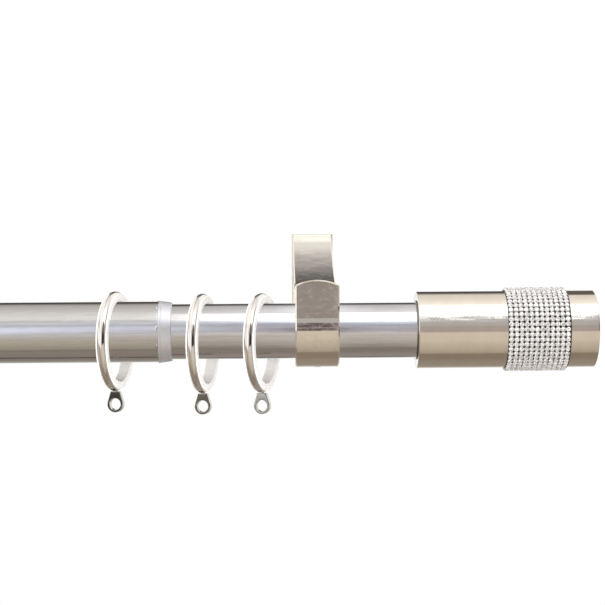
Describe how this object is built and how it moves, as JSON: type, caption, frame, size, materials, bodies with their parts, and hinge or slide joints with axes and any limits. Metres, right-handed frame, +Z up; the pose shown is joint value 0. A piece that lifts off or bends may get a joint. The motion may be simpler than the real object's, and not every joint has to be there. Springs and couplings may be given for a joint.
{
  "type": "extendable curtain rod",
  "caption": "Extendable curtain rod: telescoping tubes in hook wall brackets, drum finials banded with cut stones, and lined rings with swivel eyelets.",
  "frame": {"origin": "middle of the right wall plate's back face, on the wall", "axes": "+X along the rod to the finial of the inner tube, +Y into the wall, +Z up"},
  "size_m": [0.6524, 0.1161, 0.0872],
  "materials": {
    "tube_nickel": "drawn steel tube plated in satin nickel, fine lines along its length",
    "finial_nickel": "polished warm nickel plating",
    "adapter_metal": "plain machined insert",
    "cut_stone": "clear cut stones on a dark mesh",
    "bracket_nickel": "extruded aluminium, polished and nickel plated, with fine scratches",
    "plate_metal": "satin plate",
    "ring_nickel": "polished nickel plating",
    "eyelet_metal": "darker plated casting",
    "collar_plastic": "milky translucent plastic",
    "liner_nylon": "white nylon",
    "hidden_plastic": "plain moulded plastic",
    "screw_steel": "plated steel grub screw"
  },
  "bodies": {
    "fixed_rod": {"outer_tube": "tube_nickel", "step_collar": "collar_plastic", "left_finial_sleeve": "finial_nickel", "left_finial_cap": "finial_nickel", "left_finial_adapter": "adapter_metal", "left_finial_stones": "cut_stone", "left_finial_screw": "screw_steel", "right_wall_plate": "plate_metal", "right_hook_arm": "bracket_nickel", "right_lock_screw": "screw_steel", "right_pole_screw": "screw_steel", "left_wall_plate": "plate_metal", "left_hook_arm": "bracket_nickel", "left_lock_screw": "screw_steel", "left_pole_screw": "screw_steel"},
    "inner_section": {"inner_tube": "tube_nickel", "inner_glide": "hidden_plastic", "right_finial_sleeve": "finial_nickel", "right_finial_cap": "finial_nickel", "right_finial_adapter": "adapter_metal", "right_finial_stones": "cut_stone", "right_finial_screw": "screw_steel"},
    "ring_1": {"ring_1_hoop": "ring_nickel", "ring_1_liner": "liner_nylon"},
    "ring_1_swivel": {"ring_1_eyelet": "eyelet_metal"},
    "ring_2": {"ring_2_hoop": "ring_nickel", "ring_2_liner": "liner_nylon"},
    "ring_2_swivel": {"ring_2_eyelet": "eyelet_metal"},
    "ring_3": {"ring_3_hoop": "ring_nickel", "ring_3_liner": "liner_nylon"},
    "ring_3_swivel": {"ring_3_eyelet": "eyelet_metal"}
  },
  "joints": [
    {"name": "inner_section_slide", "type": "slide", "parent": "fixed_rod", "child": "inner_section", "axis": [1, 0, 0], "range_m": [-0.0345, 0.17]},
    {"name": "ring_1_slide", "type": "slide", "parent": "fixed_rod", "child": "ring_1", "axis": [1, 0, 0], "range_m": [-0.286, 0.012]},
    {"name": "ring_2_slide", "type": "slide", "parent": "fixed_rod", "child": "ring_2", "axis": [1, 0, 0], "range_m": [-0.01, 0.008]},
    {"name": "ring_3_slide", "type": "slide", "parent": "fixed_rod", "child": "ring_3", "axis": [1, 0, 0], "range_m": [-0.008, 0.006]},
    {"name": "ring_1_eyelet_turn", "type": "hinge", "parent": "ring_1", "child": "ring_1_swivel", "pos_m": [-0.0928, -0.0935, -0.0475], "axis": [0, 0, 1], "continuous": true},
    {"name": "ring_2_eyelet_turn", "type": "hinge", "parent": "ring_2", "child": "ring_2_swivel", "pos_m": [-0.0526, -0.0935, -0.0488], "axis": [0, 0, 1], "continuous": true},
    {"name": "ring_3_eyelet_turn", "type": "hinge", "parent": "ring_3", "child": "ring_3_swivel", "pos_m": [-0.0253, -0.0935, -0.0488], "axis": [0, 0, 1], "continuous": true}
  ]
}
